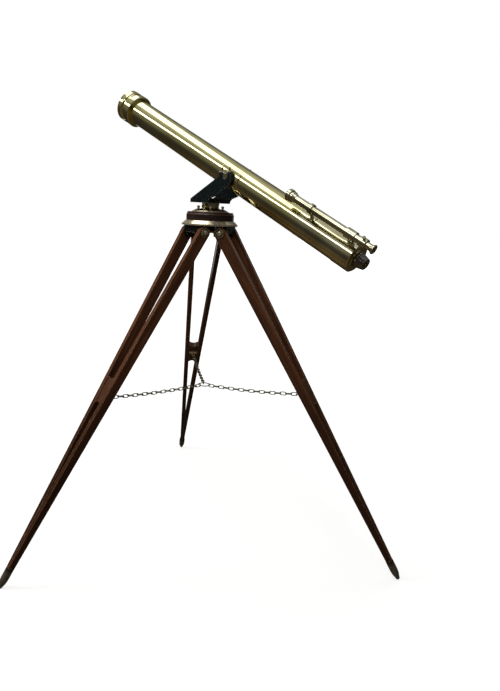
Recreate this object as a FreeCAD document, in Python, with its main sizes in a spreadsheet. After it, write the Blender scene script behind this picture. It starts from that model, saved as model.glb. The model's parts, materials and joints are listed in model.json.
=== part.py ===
"""Brass refracting telescope on a yoke mount and a folding wooden tripod with a spreader chain.

Millimetres, +Z up. The origin lies on the floor, under the tripod's centre. The optical axis lies in
the XZ plane: the object glass points towards -X and upwards, the eyepiece towards +X.
"""
import FreeCAD
import Part

import math
import os

import Sketcher

Vector = FreeCAD.Vector
doc = FreeCAD.newDocument("Telescope")

# ------------------------------------------------------------------ driving dimensions
DIMENSIONS = [
    # tripod
    ("hinge_radius", 65.0, "leg hinge axis from the tripod's centre line"),
    ("hinge_height", 1183.6, "leg hinge axis above the floor"),
    ("leg_lean", 32.04, "open legs, degrees from the vertical"),
    ("leg_turn", 18.7, "azimuth of the first leg from the eye end, degrees"),
    ("bar_half_span", 61.0, "outer face of a leg bar at the hinge, from the leg's centre plane"),
    ("bar_thickness", 17.0, "leg bar, across the leg"),
    ("bar_slope", 0.0392, "inward run of a bar per unit of length"),
    ("bar_top_radius", 21.6, "rounded top end, half the bar's depth there"),
    ("bar_end_depth", 10.4, "half depth at the shoulder above the shoe"),
    ("bar_length", 1350.0, "hinge axis to the lower end of the tenon"),
    ("tenon_half", 6.6, "half width of the tenon in the shoe"),
    ("tenon_depth", 8.8, "half depth of the tenon in the shoe"),
    ("tenon_gap", 0.2, "clearance round the tenon"),
    ("block_top", 601.0, "spreader block, distance down the leg"),
    ("block_length", 101.0, "spreader block along the leg"),
    ("block_depth", 27.0, "spreader block, through the leg"),
    ("block_dip", 6.0, "hollow in the block's ends"),
    ("shoe_top", 1320.0, "upper rim of the brass shoe, distance down the leg"),
    ("shoe_socket", 1352.0, "floor of the shoe's socket, distance down the leg"),
    ("shoe_radius", 13.6, "brass shoe"),
    ("shoe_shoulder", 38.0, "straight length of the shoe below its rim"),
    ("shoe_tip_radius", 7.5, "rounded point of the shoe"),
    ("flange_radius", 103.5, "brass flange under the head"),
    ("flange_floor", 1208.4, "underside of the flange"),
    ("flange_rim", 5.5, "thickness of the flange at its rim"),
    ("flange_thickness", 17.1, "thickness of the flange inside its slope"),
    ("disc_radius", 87.3, "wooden head disc"),
    ("disc_thickness", 31.0, "wooden head disc"),
    ("plate_radius", 69.0, "brass azimuth plate on the disc"),
    ("plate_thickness", 3.0, "brass azimuth plate"),
    ("plate_screw_circle", 44.0, "plate screws from the centre line"),
    ("plate_screw_turn", 42.0, "azimuth of the first plate screw, degrees"),
    ("hub_radius", 63.0, "domed hub under the column"),
    ("hub_rim", 2.0, "thickness of the hub at its rim"),
    ("hub_ledge", 8.0, "thickness of the hub at its flat"),
    ("hub_flat", 50.5, "outer radius of the hub's flat"),
    ("column_radius", 31.0, "brass column"),
    ("column_height", 28.6, "brass column"),
    ("spindle_radius", 14.0, "azimuth spindle"),
    ("running_gap", 0.05, "radial clearance of a running fit"),
    ("hinge_pin_radius", 5.0, "leg hinge bolt"),
    ("washer_radius", 18.0, "corners of a hexagonal hinge washer"),
    ("washer_thickness", 3.5, "hinge washer"),
    ("notch_half", 25.0, "half the width of the notch between a hinge block's two lugs"),
    ("clamp_height", 1276.5, "azimuth clamp screw above the floor"),
    ("clamp_radius", 3.5, "azimuth clamp screw"),
    ("clamp_turn", 281.0, "azimuth of the clamp screw, degrees"),
    # mount
    ("yoke_floor", 1288.5, "underside of the yoke's base"),
    ("yoke_base", 16.0, "thickness of the yoke's base"),
    ("yoke_rear", -45.0, "edge of the base on the object glass side"),
    ("yoke_front", 40.0, "edge of the base on the eyepiece side"),
    ("cheek_gap", 51.2, "inner face of a cheek from the centre plane"),
    ("cheek_thickness", 10.0, "yoke cheek"),
    ("pivot_x", 113.0, "altitude axis, towards the eyepiece"),
    ("pivot_z", 1377.7, "altitude axis above the floor"),
    ("journal_radius", 9.0, "trunnion journal"),
    ("head_half", 27.0, "half width of a cheek at the altitude axis"),
    ("head_rise", 14.0, "top of a cheek above the altitude axis"),
    ("cap_half", 24.0, "half the length of a trunnion cap"),
    ("cap_screw_offset", 16.0, "cap screws from the altitude axis"),
    ("cap_screw_height", 12.0, "tall head of a cap screw"),
    # telescope, distances along the optical axis from the altitude axis, positive to the object glass
    ("altitude", 25.8, "elevation of the optical axis at rest, degrees"),
    ("tube_radius", 47.2, "main tube, outside"),
    ("tube_wall", 1.6, "main tube"),
    ("cell_front", 640.0, "front rim of the object glass cell"),
    ("cell_rear", 569.0, "rear face of the counter cell"),
    ("cell_radius", 59.5, "rims of the cell"),
    ("cell_neck_radius", 54.5, "neck between the rims"),
    ("glass_radius", 43.0, "object glass"),
    ("joint_station", -312.0, "joint between the main tube and the tail tube"),
    ("tail_station", -478.0, "front edge of the tail ring"),
    ("tail_end", -545.0, "end face of the tail ring"),
    ("tail_radius", 48.4, "tail ring, outside"),
    ("draw_radius", 24.0, "draw tube, outside"),
    ("draw_inner", 22.4, "draw tube, inside"),
    ("draw_front", -380.0, "inner end of the draw tube"),
    ("eyepiece_end", -581.0, "outer face of the eyepiece"),
    ("pinion_station", -512.0, "focusing pinion"),
    ("tooth_module", 1.0, "rack and pinion"),
    ("pinion_teeth", 14.0, "focusing pinion"),
    # finder
    ("finder_offset", 92.0, "finder axis from the optical axis"),
    ("finder_turn", 43.0, "finder round the tube from its top, degrees"),
    ("finder_front", -265.0, "front rim of the finder"),
    ("finder_rear", -556.0, "rear end of the finder's tube"),
    ("finder_end", -606.0, "outer face of the finder's eyepiece"),
    ("finder_radius", 12.4, "finder tube, outside"),
    ("finder_front_post", -362.0, "front bracket"),
    ("finder_rear_post", -520.0, "rear bracket"),
    # spreader chain
    ("eye_station_1", 639.0, "chain eye of the first leg, distance down the leg"),
    ("eye_station_2", 643.0, "chain eye of the second leg"),
    ("eye_station_3", 659.0, "chain eye of the third leg"),
    ("eye_plate_half", 17.5, "half the width of a chain eye's plate"),
    ("eye_plate_rise", 5.5, "half the height of a chain eye's plate"),
    ("chain_sag", 5.0, "droop of a chain arm at its middle"),
    ("chain_ring_radius", 22.0, "centre ring, to the middle of its wire"),
    ("chain_wire", 1.7, "radius of the chain's wire"),
    ("chain_height", 600.0, "centre ring above the floor"),
    ("chain_ring_x", 6.7, "centre ring beside the tripod's centre line, towards the eye end"),
    ("chain_ring_y", 6.0, "centre ring beside the tripod's centre line, across"),
    ("link_pitch", 20.6, "from one link to the next when the chain is tight"),
    ("link_width", 5.6, "half the width of a link, to the middle of its wire"),
    ("link_play", 0.9, "play of the last link in the staple"),
]

dims = doc.addObject("Spreadsheet::Sheet", "dims")
for row, (alias, value, note) in enumerate(DIMENSIONS, start=1):
    dims.set(f"A{row}", alias)
    dims.set(f"B{row}", str(value))
    dims.setAlias(f"B{row}", alias)
    dims.set(f"C{row}", note)
doc.recompute()


class Term:
    """A size that knows its number and the spreadsheet expression that it comes from."""

    def __init__(self, value, text=None):
        self.value = float(value)
        self.text = text or f"({float(value)!r})"

    def __add__(self, other):
        other = term(other)
        return Term(self.value + other.value, f"({self.text} + {other.text})")

    def __sub__(self, other):
        other = term(other)
        return Term(self.value - other.value, f"({self.text} - {other.text})")

    def __mul__(self, other):
        other = term(other)
        return Term(self.value * other.value, f"({self.text} * {other.text})")

    def __truediv__(self, other):
        other = term(other)
        return Term(self.value / other.value, f"({self.text} / {other.text})")

    def __neg__(self):
        return term(0) - self

    def __radd__(self, other):
        return term(other) + self

    def __rsub__(self, other):
        return term(other) - self

    def __rmul__(self, other):
        return term(other) * self


def term(size):
    return size if isinstance(size, Term) else Term(size)


def dim(alias):
    return Term(dims.get(alias), f"dims.{alias}")


def number(alias):
    return float(dims.get(alias))


# ------------------------------------------------------------------ modelling helpers
PARTS = {}
LEG_COUNT = 3
LEG_STEP = 360 / LEG_COUNT


def keep(label, item, placement=None):
    """Register a finished sub-part under its node name."""
    item.Label = label
    if placement is not None:
        item.Placement = placement
    PARTS[label] = item
    return item


def new_body(label):
    body = doc.addObject("PartDesign::Body", label)
    body.AllowCompound = True
    return body


def new_sketch(body, plane, offset=None):
    """A sketch on one of the body's own origin planes, moved along its normal by offset."""
    sketch = body.newObject("Sketcher::SketchObject", "sketch")
    origin = [item for item in body.Origin.OriginFeatures if item.Role == plane][0]
    sketch.AttachmentSupport = [(origin, "")]
    sketch.MapMode = "FlatFace"
    if offset is not None:
        sketch.setExpression("AttachmentOffset.Base.z", term(offset).text)
    return sketch


class Arc:
    """A round stretch of an outline, between the points before and after it."""

    def __init__(self, centre, clockwise=False):
        self.centre = (term(centre[0]), term(centre[1]))
        self.clockwise = clockwise


def pin(sketch, index, position, point, axes="XY"):
    """Hold a vertex at its coordinates with two driven dimensions."""
    for axis, size in zip("XY", point):
        if axis in axes:
            rule = sketch.addConstraint(
                Sketcher.Constraint(f"Distance{axis}", -1, 1, index, position, size.value))
            sketch.setExpression(f"Constraints[{rule}]", size.text)


def draw(sketch, outline):
    """Draw a closed outline of points, with an Arc wherever a stretch is round."""
    points = [tuple(term(size) for size in item) for item in outline if not isinstance(item, Arc)]
    arcs = {}
    count = 0
    for item in outline:
        if isinstance(item, Arc):
            arcs[count - 1] = item
        else:
            count += 1
    ends = []
    for corner, point in enumerate(points):
        following = points[(corner + 1) % len(points)]
        start = Vector(point[0].value, point[1].value, 0)
        stop = Vector(following[0].value, following[1].value, 0)
        if corner in arcs:
            arc = arcs[corner]
            middle = Vector(arc.centre[0].value, arc.centre[1].value, 0)
            first, last = (math.atan2((end - middle).y, (end - middle).x) for end in (start, stop))
            if arc.clockwise:
                first, last = last, first
            if last <= first:
                last += 2 * math.pi
            circle = Part.Circle(middle, Vector(0, 0, 1), (start - middle).Length)
            index = sketch.addGeometry(Part.ArcOfCircle(circle, first, last), False)
            ends.append((index, 2, 1) if arc.clockwise else (index, 1, 2))
            pin(sketch, index, 3, arc.centre)
        else:
            index = sketch.addGeometry(Part.LineSegment(start, stop), False)
            ends.append((index, 1, 2))
    for corner, (index, _, finish) in enumerate(ends):
        after, after_begin, _ = ends[(corner + 1) % len(ends)]
        sketch.addConstraint(Sketcher.Constraint("Coincident", index, finish, after, after_begin))
    for corner, point in enumerate(points):
        # a point at the end of an arc already lies on its circle, so one coordinate places it
        axes = "XY"
        arc = arcs.get((corner - 1) % len(points))
        if arc:
            across = abs(point[0].value - arc.centre[0].value)
            along = abs(point[1].value - arc.centre[1].value)
            axes = "X" if along > across else "Y"
        pin(sketch, ends[corner][0], ends[corner][1], point, axes)


def ring(sketch, centre, radius):
    """Draw a full circle."""
    centre = (term(centre[0]), term(centre[1]))
    radius = term(radius)
    middle = Vector(centre[0].value, centre[1].value, 0)
    index = sketch.addGeometry(Part.Circle(middle, Vector(0, 0, 1), radius.value), False)
    pin(sketch, index, 3, centre)
    rule = sketch.addConstraint(Sketcher.Constraint("Radius", index, radius.value))
    sketch.setExpression(f"Constraints[{rule}]", radius.text)


def turn(label, *profiles):
    """A turned piece: closed (radius, height) profiles revolved about the Z axis."""
    body = new_body(label)
    sketch = new_sketch(body, "XZ_Plane")
    for profile in profiles:
        draw(sketch, profile)
    revolution = body.newObject("PartDesign::Revolution", "turned")
    revolution.Profile = sketch
    revolution.ReferenceAxis = (sketch, ["V_Axis"])
    revolution.Angle = 360
    return body


def pad(body, sketch, length, symmetric=False):
    feature = body.newObject("PartDesign::Pad", "pad")
    feature.Profile = sketch
    feature.setExpression("Length", term(length).text)
    feature.SideType = "Symmetric" if symmetric else "One side"
    return feature


def cut_through(body, sketch):
    """Cut a sketch right through the body, both ways; returns once the volume has gone down."""
    doc.recompute()
    before = body.Shape.Volume
    feature = body.newObject("PartDesign::Pocket", "cut")
    feature.Profile = sketch
    feature.Type = "ThroughAll"
    feature.SideType = "Symmetric"
    doc.recompute()
    if body.Shape.Volume >= before - 1e-3:
        raise RuntimeError(f"{body.Name}: the pocket removed nothing")
    return feature


def group(label, pieces):
    """Several separate pieces in one node."""
    compound = doc.addObject("Part::Compound", label)
    compound.Links = pieces
    return keep(label, compound)


def place(x=0.0, y=0.0, z=0.0, rotation=None):
    return FreeCAD.Placement(Vector(x, y, z), rotation or FreeCAD.Rotation())


def copy_of(item, placement):
    """Another placed copy of a finished piece."""
    copy = doc.addObject("Part::Compound", "copy")
    copy.Links = [item]
    copy.Placement = placement
    return copy


def polar(radius, degrees, centre=(0.0, 0.0)):
    """A point on a circle, as sizes."""
    angle = math.radians(degrees)
    return centre[0] + term(radius) * math.cos(angle), centre[1] + term(radius) * math.sin(angle)


# ------------------------------------------------------------------ tripod head
def build_head():
    floor = dim("flange_floor")
    disc_floor = floor + dim("flange_thickness")
    disc_top = disc_floor + dim("disc_thickness")
    plate_top = disc_top + dim("plate_thickness")
    bore = dim("spindle_radius") + 2.0
    slope = dim("disc_radius") + 3.0

    keep("head_flange", turn("flange", [
        (bore, floor), (dim("flange_radius"), floor),
        (dim("flange_radius"), floor + dim("flange_rim")),
        (slope, disc_floor), (bore, disc_floor)]))

    bead = 3.0
    rim = dim("disc_radius")
    keep("head_disc", turn("disc", [
        (bore, disc_floor), (rim - bead, disc_floor), Arc((rim - bead, disc_floor + bead)),
        (rim, disc_floor + bead),
        (rim, disc_top - 3 * bead), (rim - bead, disc_top - 2 * bead),
        (rim - bead, disc_top - bead), Arc((rim - 2 * bead, disc_top - bead)),
        (rim - 2 * bead, disc_top), (bore, disc_top)]))

    keep("azimuth_plate", turn("plate", [
        (bore, disc_top), (dim("plate_radius"), disc_top),
        (dim("plate_radius"), plate_top - 1.0), (dim("plate_radius") - 1.0, plate_top),
        (bore, plate_top)]))

    # the column stands on a low domed hub, and the hub's edge carries the plate's screws
    radius = dim("column_radius")
    hub = dim("hub_radius")
    ledge = plate_top + dim("hub_ledge")
    top = plate_top + dim("column_height") - 0.4
    column = turn("column", [
        (dim("spindle_radius") + dim("running_gap"), plate_top), (hub, plate_top),
        (hub, plate_top + dim("hub_rim")), (dim("hub_flat"), ledge), (radius + 5.5, ledge),
        (radius + 1.5, ledge + 2.0), (radius, ledge + 5.0), (radius, top - 4.0),
        (radius + 2.0, top - 3.0), (radius + 2.0, top),
        (dim("spindle_radius") + dim("running_gap"), top)])

    foot = ledge + 0.05
    screw = turn("plate_screw", [
        (0, foot), (4.0, foot), (4.0, foot + 3.0), (5.4, foot + 4.0), (5.4, foot + 9.5),
        (4.4, foot + 10.5), (0, foot + 10.5)])
    screws = []
    for count in range(4):
        angle = math.radians(90 * count + number("plate_screw_turn"))
        reach = number("plate_screw_circle")
        screws.append(copy_of(screw, place(reach * math.cos(angle), reach * math.sin(angle))))
    group("plate_screws", screws)
    doc.recompute()
    tapped = new_sketch(column, "YZ_Plane")
    ring(tapped, (0, dim("clamp_height")), dim("clamp_radius") + dim("running_gap"))
    doc.recompute()
    pocket = column.newObject("PartDesign::Pocket", "clamp_hole")
    pocket.Profile = tapped
    pocket.Type = "ThroughAll"
    pocket.Reversed = True
    keep("column", column, place(rotation=FreeCAD.Rotation(Vector(0, 0, 1), number("clamp_turn"))))


def build_hinges():
    """Black blocks under the flange, and the bolts through them with washers on the leg bars."""
    blocks, bolts = [], []
    for leg in range(LEG_COUNT):
        azimuth = number("leg_turn") + LEG_STEP * leg
        turned = FreeCAD.Rotation(Vector(0, 0, 1), azimuth)

        block = new_body("hinge_block")
        sketch = new_sketch(block, "XZ_Plane")
        axis = (dim("hinge_radius"), dim("hinge_height"))
        radius = dim("bar_top_radius") - 2.0
        draw(sketch, [
            (axis[0] - radius, dim("flange_floor")), (axis[0] - radius, axis[1]), Arc(axis),
            (axis[0] + radius, axis[1]), (axis[0] + radius, dim("flange_floor"))])
        ring(sketch, axis, dim("hinge_pin_radius") + dim("running_gap"))
        pad(block, sketch, 2 * (dim("bar_half_span") - dim("bar_thickness") - 1.2), symmetric=True)
        notch = new_sketch(block, "YZ_Plane")
        half_notch = dim("notch_half")
        draw(notch, [(-half_notch, axis[1] - radius - 5.0), (half_notch, axis[1] - radius - 5.0),
                     (half_notch, axis[1]), (-half_notch, axis[1])])
        cut_through(block, notch)
        block.Placement = place(rotation=turned)
        blocks.append(block)

        half = dim("bar_half_span")
        pin_radius = dim("hinge_pin_radius")
        bolt = turn("hinge_bolt", [
            (0, -half - 10.0), (7.0, -half - 9.0), (8.5, -half - 5.2), (pin_radius, -half - 5.2),
            (pin_radius, half + 5.2), (8.5, half + 5.2), (7.0, half + 9.0), (0, half + 10.0)])
        across = FreeCAD.Rotation(Vector(1, 0, 0), 90)
        bolt.Placement = FreeCAD.Placement(
            turned.multVec(Vector(number("hinge_radius"), 0, number("hinge_height"))),
            turned.multiply(across))
        bolts.append(bolt)

        for side in (-1, 1):
            washer = new_body("washer")
            sketch = new_sketch(washer, "XY_Plane")
            corners = []
            for corner in range(6):
                angle = math.radians(60 * corner)
                corners.append((dim("washer_radius") * math.cos(angle),
                                dim("washer_radius") * math.sin(angle)))
            draw(sketch, corners)
            ring(sketch, (0, 0), pin_radius + dim("running_gap"))
            pad(washer, sketch, dim("washer_thickness"))
            doc.recompute()
            play = 1.2
            face = half.value + play + (number("washer_thickness") if side > 0 else 0)
            local = Vector(number("hinge_radius"), side * face, number("hinge_height"))
            washer.Placement = FreeCAD.Placement(turned.multVec(local), turned.multiply(across))
            bolts.append(washer)
    group("hinge_blocks", blocks)
    group("hinge_bolts", bolts)


# ------------------------------------------------------------------ legs
def leg_placement(leg):
    """Leg frame: Z up the leg from the hinge, Y square to the leg and outwards, X across."""
    azimuth = math.radians(number("leg_turn") + LEG_STEP * leg)
    lean = math.radians(number("leg_lean"))
    out = Vector(math.cos(azimuth), math.sin(azimuth), 0)
    up = Vector(0, 0, 1)
    across = Vector(math.sin(azimuth), -math.cos(azimuth), 0)
    normal = out * math.cos(lean) + up * math.sin(lean)
    along = up * math.cos(lean) - out * math.sin(lean)
    base = out * number("hinge_radius") + up * number("hinge_height")
    return FreeCAD.Placement(base, FreeCAD.Rotation(across, normal, along, "ZYX"))


def outer_face(distance):
    """Outer face of a bar, from the leg's centre plane, at a distance down the leg."""
    return dim("bar_half_span") - dim("bar_slope") * distance


def build_bar(label, side):
    length = dim("bar_length")
    shoulder = dim("shoe_top") - dim("tenon_gap")
    top = dim("bar_top_radius") + 2.0
    meet = (dim("bar_half_span") - dim("bar_thickness")) / dim("bar_slope")
    body = new_body(label)
    front = new_sketch(body, "XZ_Plane")
    inner_top = outer_face(-top) - dim("bar_thickness")
    draw(front, [
        (side * outer_face(-top), top), (side * inner_top, top), (side * 0.05, -meet),
        (side * 0.05, -length), (side * dim("tenon_half"), -length),
        (side * dim("tenon_half"), -shoulder), (side * outer_face(shoulder), -shoulder)])
    pad(body, front, 2 * dim("bar_top_radius") + 4.0, symmetric=True)

    # everything outside the bar's side outline, and the bolt hole, is cut away
    profile = new_sketch(body, "YZ_Plane")
    radius = dim("bar_top_radius")
    far = radius + 10.0
    draw(profile, [(-far, far), (-far, -length - 10.0), (far, -length - 10.0), (far, far)])
    draw(profile, [
        (radius, 0), Arc((0, 0)), (-radius, 0), (-dim("bar_end_depth"), -shoulder),
        (-dim("tenon_depth"), -shoulder), (-dim("tenon_depth"), -length),
        (dim("tenon_depth"), -length), (dim("tenon_depth"), -shoulder),
        (dim("bar_end_depth"), -shoulder)])
    ring(profile, (0, 0), dim("hinge_pin_radius") + dim("running_gap"))
    cut_through(body, profile)
    return body


def build_block(label):
    top = dim("block_top")
    bottom = top + dim("block_length")
    dip = dim("block_dip")
    gap = 0.1
    body = new_body(label)
    sketch = new_sketch(body, "XZ_Plane")
    half_top = outer_face(top) - dim("bar_thickness") - gap
    half_bottom = outer_face(bottom) - dim("bar_thickness") - gap
    lip_top = half_top - 4.0
    lip_bottom = half_bottom - 4.0
    # the hollow's radius follows from its width and depth
    rise_top = (lip_top * lip_top - dip * dip) / (2 * dip)
    rise_bottom = (lip_bottom * lip_bottom - dip * dip) / (2 * dip)
    draw(sketch, [
        (-half_top, -top), (-half_bottom, -bottom), (-lip_bottom, -bottom),
        Arc((0, -bottom - rise_bottom), clockwise=True), (lip_bottom, -bottom),
        (half_bottom, -bottom), (half_top, -top), (lip_top, -top),
        Arc((0, rise_top - top), clockwise=True), (-lip_top, -top)])
    pad(body, sketch, dim("block_depth"), symmetric=True)
    return body


def build_shoe(label):
    top = dim("shoe_top")
    radius = dim("shoe_radius")
    tip = dim("shoe_tip_radius")
    centre = (dim("hinge_height") - tip).value / math.cos(math.radians(number("leg_lean")))
    straight = dim("shoe_shoulder")
    body = turn(label, [
        (0, -top), (radius - 0.6, -top), (radius, -top - 0.8), (radius, -top - straight),
        (radius - 1.6, -top - straight - 14.0), (tip, -centre),
        Arc((0, -centre), clockwise=True), (0, -centre - tip.value)])
    socket = new_sketch(body, "XY_Plane", -top)
    wide = dim("tenon_half") + dim("tenon_gap")
    deep = dim("tenon_depth") + dim("tenon_gap")
    draw(socket, [(-wide, -deep), (wide, -deep), (wide, deep), (-wide, deep)])
    doc.recompute()
    before = body.Shape.Volume
    pocket = body.newObject("PartDesign::Pocket", "socket")
    pocket.Profile = socket
    pocket.setExpression("Length", (dim("shoe_socket") - top).text)
    doc.recompute()
    if body.Shape.Volume > before - 1.0:
        raise RuntimeError("the shoe's socket is empty")
    return body


def build_legs():
    for leg in range(LEG_COUNT):
        name = f"leg{leg + 1}"
        put = leg_placement(leg)
        keep(f"{name}_bar_left", build_bar(f"{name}_bar_left", 1), put)
        keep(f"{name}_bar_right", build_bar(f"{name}_bar_right", -1), put)
        keep(f"{name}_block", build_block(f"{name}_block"), put)
        keep(f"{name}_shoe", build_shoe(f"{name}_shoe"), put)
        station = dim(f"eye_station_{leg + 1}")
        keep(f"{name}_chain_eye", build_chain_eye(f"{name}_chain_eye", station), put)


# ------------------------------------------------------------------ spreader chain
def build_link():
    """One link: a round wire swept round a long loop in the XZ plane, long axis along X."""
    reach = dim("link_pitch") / 2 + dim("chain_wire") + 0.1
    half = dim("link_width")
    straight = reach - half
    body = new_body("link")
    path = new_sketch(body, "XZ_Plane")
    draw(path, [(straight, -half), Arc((straight, 0)), (straight, half),
                (-straight, half), Arc((-straight, 0)), (-straight, -half)])
    wire = new_sketch(body, "YZ_Plane")
    ring(wire, (0, half), dim("chain_wire"))
    pipe = body.newObject("PartDesign::AdditivePipe", "pipe")
    pipe.Profile = wire
    pipe.Spine = path
    return body


def staple_reach():
    """How far the staple's apex stands from the leg's centre plane."""
    return dim("block_depth") / 2 + 21.0


def chain_eye_spot(leg):
    """Where the last link of a chain arm hangs, at the apex of the leg's staple."""
    azimuth = number("leg_turn") + LEG_STEP * leg
    lean = math.radians(number("leg_lean"))
    down = number(f"eye_station_{leg + 1}")
    apex = staple_reach().value
    out = number("hinge_radius") + down * math.sin(lean) - apex * math.cos(lean)
    height = number("hinge_height") - down * math.cos(lean) - apex * math.sin(lean)
    turned = FreeCAD.Rotation(Vector(0, 0, 1), azimuth)
    return turned.multVec(Vector(out, 0, height))


def build_chain():
    """Three arms of links from a centre ring to the staples, each drooping a little."""
    centre = Vector(number("chain_ring_x"), number("chain_ring_y"), number("chain_height"))
    ring_body = doc.addObject("Part::Torus", "chain_ring")
    ring_body.setExpression("Radius1", dim("chain_ring_radius").text)
    ring_body.setExpression("Radius2", (dim("chain_wire") + 0.2).text)
    keep("chain_ring", ring_body, place(*centre))

    link = build_link()
    wire = number("chain_wire")
    sag = number("chain_sag")
    reach = number("link_pitch") / 2 + wire + 0.1
    start = number("chain_ring_radius") - 2 * wire - 0.3 + reach
    for leg in range(LEG_COUNT):
        run = chain_eye_spot(leg) - centre
        flat = math.hypot(run.x, run.y)
        turned = FreeCAD.Rotation(Vector(0, 0, 1), math.degrees(math.atan2(run.y, run.x)))
        stop = flat + 2 * wire + number("link_play") - reach
        # an even count keeps the first and the last link upright, round the ring and the staple
        steps = 2 * math.ceil((stop - start) / (2 * number("link_pitch")))
        links = []
        for count in range(steps + 1):
            along = count / steps
            drop = sag * 4 * along * (1 - along)
            slope = (run.z - sag * 4 * (1 - 2 * along)) / (stop - start)
            spot = Vector(start + (stop - start) * along, 0, run.z * along - drop)
            tilt = FreeCAD.Rotation(Vector(0, 1, 0), -math.degrees(math.atan(slope)))
            roll = FreeCAD.Rotation(Vector(1, 0, 0), 90 * (count % 2))
            links.append(copy_of(link, FreeCAD.Placement(
                centre + turned.multVec(spot), turned.multiply(tilt).multiply(roll))))
        group(f"chain_arm{leg + 1}", links)
        print("chain arm", leg + 1, "has", steps + 1, "links, pitch",
              round((stop - start) / steps, 2))


def build_chain_eye(label, down):
    """A plate on the spreader block's inner face with the staple that holds the chain."""
    face = dim("block_depth") / 2
    body = new_body(label)
    plate = new_sketch(body, "XZ_Plane", face)
    half = dim("eye_plate_half")
    rise = dim("eye_plate_rise")
    draw(plate, [(-half, -down - rise), (half, -down - rise), (half, -down + rise),
                 (-half, -down + rise)])
    pad(body, plate, 2.5)
    studs = new_sketch(body, "XZ_Plane", face + 2.4)
    for side in (-1, 1):
        ring(studs, (side * (half - 5.0), -down), 3.4)
    pad(body, studs, 2.0)
    radius = 5.0
    path = new_sketch(body, "XY_Plane", -down)
    bend = staple_reach() - radius
    index = [
        path.addGeometry(Part.LineSegment(Vector(-radius, -face.value - 1, 0),
                                          Vector(-radius, -bend.value, 0)), False),
        path.addGeometry(Part.ArcOfCircle(Part.Circle(Vector(0, -bend.value, 0), Vector(0, 0, 1),
                                                      radius), math.pi, 2 * math.pi), False),
        path.addGeometry(Part.LineSegment(Vector(radius, -bend.value, 0),
                                          Vector(radius, -face.value - 1, 0)), False)]
    pin(path, index[0], 1, (term(-radius), -face - 1.0))
    pin(path, index[1], 3, (term(0), -bend))
    path.addConstraint(Sketcher.Constraint("Coincident", index[0], 2, index[1], 1))
    path.addConstraint(Sketcher.Constraint("Coincident", index[1], 2, index[2], 1))
    wire = new_sketch(body, "XZ_Plane", face + 1.0)
    ring(wire, (-radius, -down), dim("chain_wire"))
    pipe = body.newObject("PartDesign::AdditivePipe", "staple")
    pipe.Profile = wire
    pipe.Spine = path
    return body


# ------------------------------------------------------------------ yoke mount
def build_clamp():
    """Thumbscrew in the column's side that holds the azimuth."""
    screw = turn("azimuth_clamp", [
        (0, dim("spindle_radius") + 0.6), (2.5, dim("spindle_radius") + 0.6),
        (dim("clamp_radius"), dim("spindle_radius") + 1.6), (dim("clamp_radius"), 37.0),
        (5.5, 37.5), (5.5, 40.0), (8.6, 41.0), (8.6, 49.0), (7.6, 50.0), (0, 50.0)])
    turned = FreeCAD.Rotation(Vector(0, 0, 1), number("clamp_turn"))
    outwards = FreeCAD.Rotation(Vector(0, 1, 0), 90)
    keep("azimuth_clamp", screw, place(z=number("clamp_height"), rotation=turned.multiply(outwards)))


def build_spindle():
    nut_floor = dim("flange_floor") - 15.0
    radius = dim("spindle_radius")
    floor = dim("yoke_floor")
    keep("azimuth_spindle", turn("azimuth_spindle", [
        (0, nut_floor - 6.0), (radius - 1.5, nut_floor - 6.0), (radius, nut_floor - 4.5),
        (radius, floor - 0.6), (radius + 14.0, floor - 0.6), (radius + 14.0, floor), (0, floor)]))
    nut = new_body("spindle_nut")
    sketch = new_sketch(nut, "XY_Plane", nut_floor)
    draw(sketch, [polar(26.0, 60 * corner) for corner in range(6)])
    ring(sketch, (0, 0), radius + dim("running_gap"))
    pad(nut, sketch, 14.0)
    keep("spindle_nut", nut)


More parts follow.
